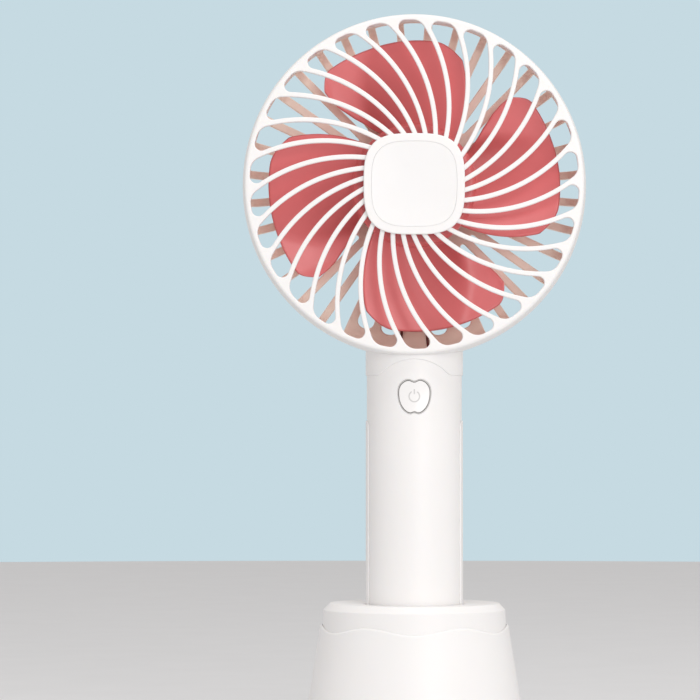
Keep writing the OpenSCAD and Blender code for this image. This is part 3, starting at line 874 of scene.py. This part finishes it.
def blade_shell(start_angle):
    """One twisted blade: wide, round at its leading tip corner, thinning towards its edges."""
    root_r, tip_r = HUB_R - 0.9, HIGH["impeller"][0]
    low_edge = ([17, 20, 25, 33, 40, 44.5], [47, 50, 54.5, 61.5, 68, 73])
    high_edge = ([17, 22, 28, 33, 36.6, 40, 44.5], [120, 126, 131, 133.4, 133.8, 133.4, 131.5])
    across, along = 57, 41
    s = (1 - np.cos(np.linspace(0, math.pi, across))) / 2
    s = 0.5 * s + 0.5 * np.linspace(0, 1, across)
    t = np.sin(np.linspace(0, math.pi / 2, along))
    t = 0.45 * t + 0.55 * np.linspace(0, 1, along)
    # The tip drops away at both corners, more at the trailing one
    low_corner = 3.6 * np.clip(1 - s / 0.15, 0, 1) ** 2.2
    high_corner = 4.6 * np.clip(1 - (1 - s) / 0.11, 0, 1) ** 2.4
    tip = tip_r - low_corner - high_corner
    r = root_r + (tip[:, None] - root_r) * t[None, :]
    low = np.interp(r, *low_edge)
    high = np.interp(r, *high_edge)
    share = s[:, None] * np.ones_like(r)
    turn = np.radians(low + (high - low) * share)
    radial = (r - root_r) / (tip_r - root_r)
    # Pitch of the surface, in degrees: it grows up to a fold, and is flat beyond it
    fold = 1.03 - 0.46 * radial
    pitch = 8 + (34 - 14 * radial) * np.clip(share / fold, 0, 1) ** 1.8
    pitch = pitch + (1 - pitch) * smooth(fold - 0.03, fold + 0.12, share)
    steps = np.tan(np.radians(pitch))
    arc_step = np.diff(turn, axis=0) * (r[1:] + r[:-1]) / 2
    falls = arc_step * (steps[1:] + steps[:-1]) / 2
    drop = np.concatenate([np.zeros((1, along)), np.cumsum(falls, 0)])
    front_w = 10.2 - 0.8 * radial[:1]
    middle = polar(r, turn, front_w - drop)
    du = np.gradient(middle, axis=0)
    dv = np.gradient(middle, axis=1)
    facing = unit(np.cross(du, dv))
    facing *= np.where(facing[..., 2:3] < 0, -1, 1)
    # Half thickness falls to nothing over the rounded rim
    span = np.radians(high - low) * r
    to_edge = np.minimum(share, 1 - share) * span
    to_edge = np.minimum(to_edge, (1 - t)[None, :] * (tip_r - root_r))
    rim = np.clip(to_edge / 0.3, 0, 1)
    half = 0.45 * np.sqrt(1 - (1 - rim) ** 2) * (1 - 0.3 * radial)
    front = middle + facing * half[..., None]
    back = middle - facing * half[..., None]
    index = np.arange(across * along).reshape(across, along)
    mirror = index + index.size
    mirror[[0, -1]], mirror[:, -1] = index[[0, -1]], index[:, -1]
    # The front, the back, and the root, which closes the blade inside the hub
    root = np.stack([index[:, 0], mirror[:, 0]])
    faces = grid_faces(index, flip=True) + grid_faces(mirror) + grid_faces(root, flip=True)
    points = np.concatenate([front.reshape(-1, 3), back.reshape(-1, 3)])
    c, sn = math.cos(start_angle), math.sin(start_angle)
    points = points @ np.array([[c, sn, 0], [-sn, c, 0], [0, 0, 1]])
    return tidy(points, faces, mesh_normals(points, faces))


def build_impeller():
    front, back = 12.0, -0.5
    wall, boss_r, bore_r = 1.5, 3, 1.02
    hub = lathe([
        (0, front - 0.15, 0), (HUB_R - 6, front - 0.1, 30), (HUB_R, front - 0.25, 1.7),
        (HUB_R, back, 0.3), (HUB_R - wall, back, 0.3), (HUB_R - wall, front - 1.7, 0.6),
        (boss_r, front - 1.7, 0.3), (boss_r, front - 5, 0.3), (bore_r, front - 5, 0.1),
        (bore_r, front - 1.2, 0.05), (0, front - 1.2, 0),
    ], closed=False)
    blades = [blade_shell(k * 2 * math.pi / BLADE_COUNT) for k in range(BLADE_COUNT)]
    make_piece("impeller", facing_front(joined(hub, *blades)), "rotor", "coral_blades")


# ---------------------------------------------------------------- handle

def on_tube(radius, facing_back=False):
    """A place function: the pattern's x is the way round the tube from the front or the back."""
    def place(p, depth):
        angle = p[:, 0] / radius
        r = radius - depth
        side = -1 if facing_back else 1
        return np.stack([side * r * np.sin(angle), -side * r * np.cos(angle), p[:, 1]], -1)

    return place


def tube_seeds(outline, holes, spacing_x, spacing_z):
    """Points on a grid inside the outline, so that the pattern can follow the tube's curve."""
    edge = outline(0.6)
    low, high = edge.min(0), edge.max(0)
    xs = np.arange(low[0], high[0], spacing_x) + spacing_x / 2
    zs = np.arange(low[1], high[1], spacing_z) + spacing_z / 2
    grid = np.array([[x, z] for x in xs for z in zs])
    grid = grid[inside(grid, edge)]
    for hole in holes:
        grid = grid[~inside(grid, hole(0.9))]
    return grid


def tube_wall(outline, holes, radius, thickness, edge, spacing, step=0.7, facing_back=False):
    """A moulded wall bent round the handle's axis, divided finely enough to look round."""
    outline = stepped(outline, step)
    seeds = tube_seeds(outline, holes, *spacing)
    return moulded(outline, holes, on_tube(radius, facing_back), thickness, edge, seeds)


BUTTON_W, BUTTON_H = 10.62, 11.15


def button_hole(inset):
    """Outline of the button's hole: notched above and below, narrower at the bottom."""
    taper, power = 0.13, 2.35
    t = np.linspace(0, 2 * math.pi, 120, endpoint=False)
    rise = superellipse(np.sin(t), power)
    across = (BUTTON_W / 2 + inset) * superellipse(np.cos(t), power)
    x = across * (1 + taper * rise) / (1 + taper / 4)
    top_notch, low_notch = -0.85 * np.exp(-(x / 1.25) ** 2), 0.55 * np.exp(-(x / 0.9) ** 2)
    notch = np.where(rise > 0, top_notch, low_notch)
    z = BUTTON_Z + (BUTTON_H / 2 + inset) * rise + notch
    return np.stack([HANDLE_R * np.arcsin(x / HANDLE_R), z], -1)


def build_handle():
    seam = math.radians(72)
    gap, edge = 0.06, 0.16
    corner = 2.4

    # Front shell: the pattern's outline starts at its lower left corner and runs anticlockwise
    side = seam * HANDLE_R - gap
    wide = math.pi / 2 * HANDLE_R - gap

    def front_outline(inset):
        shape = [
            (-side, HANDLE_FOOT_Z + 0.02, 0.5), (side, HANDLE_FOOT_Z + 0.02, 0.5),
            (side, STEP_Z + gap, corner), (wide, STEP_Z + gap, 0.2), (wide, COLLAR_Z + 0.6, 0.02),
        ]
        left = [(-x, z, r) for x, z, r in shape[:1:-1]]
        base = rounded_polygon(shape + left)(inset)
        # The two upper corners give way to the collar's arched edge
        per_corner = len(base) // 8
        x = np.linspace(wide - inset - 0.02, -(wide - inset - 0.02), 181)
        z = collar_low(x / HANDLE_R, 0.8)
        z = z - inset * np.hypot(1, np.gradient(z, x))
        return np.concatenate([base[:4 * per_corner], np.stack([x, z], -1), base[6 * per_corner:]])

    front = tube_wall(front_outline, [button_hole], HANDLE_R, SHELL_WALL, edge, (0.6, 6))
    make_piece("handle_front", front)

    # Upper back shell, with the charging port's hole, and the tray under the battery cover
    half_w = (HIGH["usb_shell"][0] - LOW["usb_shell"][0]) / 2 + 0.45
    usb_z = (HIGH["usb_shell"][2] + LOW["usb_shell"][2]) / 2
    half_h = (HIGH["usb_shell"][2] - LOW["usb_shell"][2]) / 2 + 0.4
    port = rectangle(half_w, usb_z - half_h, usb_z + half_h, 1.1)
    back = tube_wall(rectangle(wide, STEP_Z + gap, COLLAR_Z + 0.6, 0.2),
                     [lambda inset: port(-inset)], HANDLE_R, SHELL_WALL, edge, (0.6, 3),
                     facing_back=True)
    tray_r = HANDLE_R - SHELL_WALL + 0.2
    tray_w = math.radians(80) * tray_r
    tray = tube_wall(rectangle(tray_w, HANDLE_FOOT_Z + 2.3, STEP_Z - 0.1, 1), [], tray_r, 1.3, 0.2,
                     (1, 8), step=1, facing_back=True)
    make_piece("handle_back", joined(back, tray))

    # Battery cover, standing a little proud all the way round to the front seams
    cover_half = (math.pi - seam) * COVER_R - gap
    cover = tube_wall(rounded_polygon([
        (-cover_half, HANDLE_FOOT_Z + 0.02, 0.5), (cover_half, HANDLE_FOOT_Z + 0.02, 0.5),
        (cover_half, STEP_Z - gap, corner), (-cover_half, STEP_Z - gap, corner),
    ]), [], COVER_R, 1.6, 0.3, (0.6, 6), facing_back=True)
    make_piece("battery_cover", cover)

    cap_r, foot = HANDLE_R - SHELL_WALL - 0.05, HANDLE_FOOT_Z
    recess, thick = 0.3, 2.2
    end = lathe([
        (0, foot + recess, 0), (cap_r - 3, foot + recess, 0.2), (cap_r - 3.3, foot, 0.2),
        (cap_r, foot, 0.35), (cap_r, foot + thick, 0.2), (0, foot + thick, 0),
    ], closed=False)
    make_piece("end_cap", end)


# ---------------------------------------------------------------- button

def build_button():
    proud = HANDLE_R + 0.08
    dish = 0.32

    def cap_outline(inset):
        return button_hole(-0.5 - inset)

    def dished(p):
        spread = np.hypot(p[:, 0] / (BUTTON_W / 2), (p[:, 1] - BUTTON_Z) / (BUTTON_H / 2))
        return dish * (1 - np.clip(spread, 0, 1) ** 2)

    def place(p, depth):
        angle = p[:, 0] / HANDLE_R
        sink = dished(p) * np.clip(1 - depth / 2, 0, 1)
        r = proud - sink - depth
        return np.stack([r * np.sin(angle), -r * np.cos(angle), p[:, 1]], -1)

    seeds = tube_seeds(cap_outline, [], 0.45, 0.45)
    cap = moulded(cap_outline, [], place, 3.0, 0.3, seeds)
    flange, stem_r, stem_end = 11.0, 1.6, -HIGH["button"][1]
    stem = facing_front(lathe([
        (0, stem_end, 0), (stem_r, stem_end, 0.2), (stem_r, flange - 0.9, 0.3),
        (6.1, flange - 0.9, 0.15), (6.1, flange, 0.15), (4, flange, 0.1), (4, flange + 0.8, 0.1),
        (0, flange + 0.8, 0),
    ], closed=False, segments=64), BUTTON_Z)
    make_piece("button", joined(cap, stem), "button", "white_button")

    # Thin grey line round the button, sunk a little below the shell
    trim = moulded(lambda inset: button_hole(-0.03 - inset),
                   [lambda inset: button_hole(-0.34 + inset)], on_tube(HANDLE_R - 0.1), 1.5, 0.05)
    make_piece("button_trim", trim, "fan", "grey_trim")

    # Generic power symbol, a printed ring with a gap and a tick
    ring_r, half_line, gap_angle, print_height = 1.62, 0.2, math.radians(28), 0.012

    def ring_outline(inset):
        start, end = math.pi / 2 + gap_angle, math.pi / 2 - gap_angle + 2 * math.pi
        middle_z = BUTTON_Z + 0.05
        outer = arc((0, middle_z), ring_r + half_line - inset, start, end, 60)
        back = arc((0, middle_z), ring_r - half_line + inset, end, start, 60)
        return np.concatenate([outer, back])

    tick_outline = rectangle(half_line, BUTTON_Z + 0.75, BUTTON_Z + 2.25, 0.1)

    def printed(p, depth):
        return place(p, depth - print_height)

    marks = joined(*[moulded(outline, [], printed, 0.05, 0.008, steps=1)
                     for outline in (ring_outline, tick_outline)])
    icon = make_piece("power_mark", marks, "button", "grey_trim", remakes=False)
    icon.data.materials[0] = MATERIALS["print_grey"]


# ---------------------------------------------------------------- dock

def build_dock():
    top_r, top_z = HIGH["dock_top"][0], DOCK_TOP_Z
    plate, socket_wall, play = 2, 1.6, 0.4
    floor_z = LOW["dock_top"][2] + plate
    mouth_r = COVER_R + play
    socket_r = mouth_r + socket_wall
    seat_z = top_z - 18
    # Under the plate from the socket to the wall, up the outside, over the bevel, down the socket
    top = lathe([
        (0, floor_z - plate, 0), (socket_r, floor_z - plate, 0.5), (socket_r, top_z - plate, 0.8),
        (top_r - 3.8, top_z - plate, 0.8), (top_r - 2.2, top_z - 4, 0.8),
        (top_r - 1.8, seat_z, 0.3),
        (top_r, seat_z, 0.3), (top_r, top_z - 8, 4), (top_r - 0.4, top_z - 1.75, 0.35),
        (top_r - 2.3, top_z + 0.3, 0.4), (mouth_r + 4, top_z + 0.05, 6), (mouth_r, top_z, 0.55),
        (mouth_r, floor_z, 0.4), (0, floor_z, 0),
    ], closed=False, segments=256, steps=8)
    make_piece("dock_top", top, "dock", "white_dock")

    foot_r, foot_z = HIGH["dock_skirt"][0], LOW["dock_skirt"][2]
    crest_z = HIGH["dock_skirt"][2]
    wave, wave_count, fade = 1.05, 6, 9
    lip_r = top_r + 0.6

    def wavy(r, z, angle):
        """The skirt's top edge in waves, which fade out a little way below it."""
        share = np.clip((z - (crest_z - fade)) / fade, 0, 1)
        rise = wave * (np.cos(wave_count * (angle + math.pi / 2) + math.pi) - 1)
        return r, z + rise * share

    skirt = lathe([
        (foot_r - 2.5, foot_z, 0.3), (foot_r, foot_z, 0.8), (lip_r, crest_z - 0.75, 0.25),
        (top_r + 0.06, crest_z, 0.1), (top_r + 0.04, seat_z, 0.3),
        (foot_r - 2.4, HIGH["dock_floor"][2] + 1, 0.3),
    ], segments=360, steps=8, warp=wavy)
    make_piece("dock_skirt", skirt, "dock", "white_dock")

    floor_r, low, high = HIGH["dock_floor"][0], LOW["dock_floor"][2], HIGH["dock_floor"][2]
    corners = [(0, low, 0), (floor_r, low, 0.4), (floor_r, high, 0.3), (0, high, 0)]
    floor = lathe(corners, closed=False)
    make_piece("dock_floor", floor, "dock", "white_dock")

    # Anti-slip pad, with ring grooves in its underside
    pad_r, low, high = HIGH["foot_pad"][0], LOW["foot_pad"][2], HIGH["foot_pad"][2]
    first_r, spacing, groove, depth = 6, 4.0, 0.5, 0.35
    corners = [(0, low, 0)]
    for r in np.arange(first_r, pad_r - 3, spacing):
        corners += [(r, low, 0.1), (r, low + depth, 0.1),
                    (r + groove, low + depth, 0.1), (r + groove, low, 0.1)]
    corners += [(pad_r, low, 0.35), (pad_r, high, 0.1), (0, high, 0)]
    pad = lathe(corners, closed=False, steps=3)
    make_piece("foot_pad", pad, "dock", "foot_rubber")


# ---------------------------------------------------------------- carried-over CAD nodes

def dress_inner_nodes():
    """Gives each CAD node that no piece stands for its slot's material."""
    for row in frame["record"]["subparts"]:
        if row["node"] not in REMADE:
            node = frame["nodes"][row["node"]]
            node.data.materials.clear()
            node.data.materials.append(MATERIALS[row["material_slot"]])


build_front_guard()
build_cap()
build_ring_housing()
build_rear_grille()
build_motor_cover()
build_impeller()
build_handle()
build_button()
build_dock()
dress_inner_nodes()


# ---------------------------------------------------------------- studio

def add_area(name, place, target, size, power, colour=(1, 1, 1)):
    """A soft rectangular light aimed at a point."""
    light = bpy.data.lights.new(name, "AREA")
    light.shape = "RECTANGLE"
    light.size, light.size_y = size
    light.energy = power
    light.color = colour
    add_object(name, light, place, target)


def build_floor():
    """A round pale table top, wide enough to reach past the view on every side."""
    segments, r = 128, 1.42
    ring = polar(r, np.linspace(0, 2 * math.pi, segments, endpoint=False), 0)
    mesh = bpy.data.meshes.new("floor")
    mesh.from_pydata(ring.tolist(), [], [list(range(segments))])
    mesh.materials.append(MATERIALS["floor_paper"])
    floor = add_object("floor", mesh)


def build_world():
    world = bpy.data.worlds.new("studio")
    world.use_nodes = True
    tree = world.node_tree
    add, link = tree.nodes.new, tree.links.new
    light = tree.nodes["Background"]
    fill(light, Color=(1, 0.984, 0.974, 1), Strength=0.68)
    # The wall that is seen behind the fan is pale blue; the light from it stays neutral
    wall = add("ShaderNodeBackground")
    fill(wall, Color=srgb(198, 218, 226))
    seen = add("ShaderNodeLightPath")
    mix = add("ShaderNodeMixShader")
    link(seen.outputs["Is Camera Ray"], mix.inputs["Fac"])
    link(light.outputs["Background"], mix.inputs[1])
    link(wall.outputs["Background"], mix.inputs[2])
    link(mix.outputs["Shader"], tree.nodes["World Output"].inputs["Surface"])
    bpy.context.scene.world = world


def build_camera():
    """The camera stands level with the handle, well back, and is aimed a little left of the fan."""
    distance = 1.137
    head = np.array([0, -FACE_W, HEAD_Z]) * MM
    place = Vector((0.0, head[1] - distance, DOCK_TOP_Z * MM + 0.058))
    target = Vector((-0.01942, head[1], head[2] - 0.05018))
    data = bpy.data.cameras.new("camera")
    data.sensor_width = 36
    data.lens = 36 * distance / 0.2114
    bpy.context.scene.camera = add_object("camera", data, place, target)


build_camera()
build_floor()
build_world()
add_area("key", (0.42, -1.2, 0.4), (0, 0, 0.11), (0.65, 0.65), 5.3, (1, 0.992, 0.985))
add_area("overhead", (0.05, -0.27, 1.06), (0, 0, 0.1), (0.4, 0.4), 2.4, (1, 0.995, 0.99))
bpy.context.scene.view_settings.view_transform = "Standard"
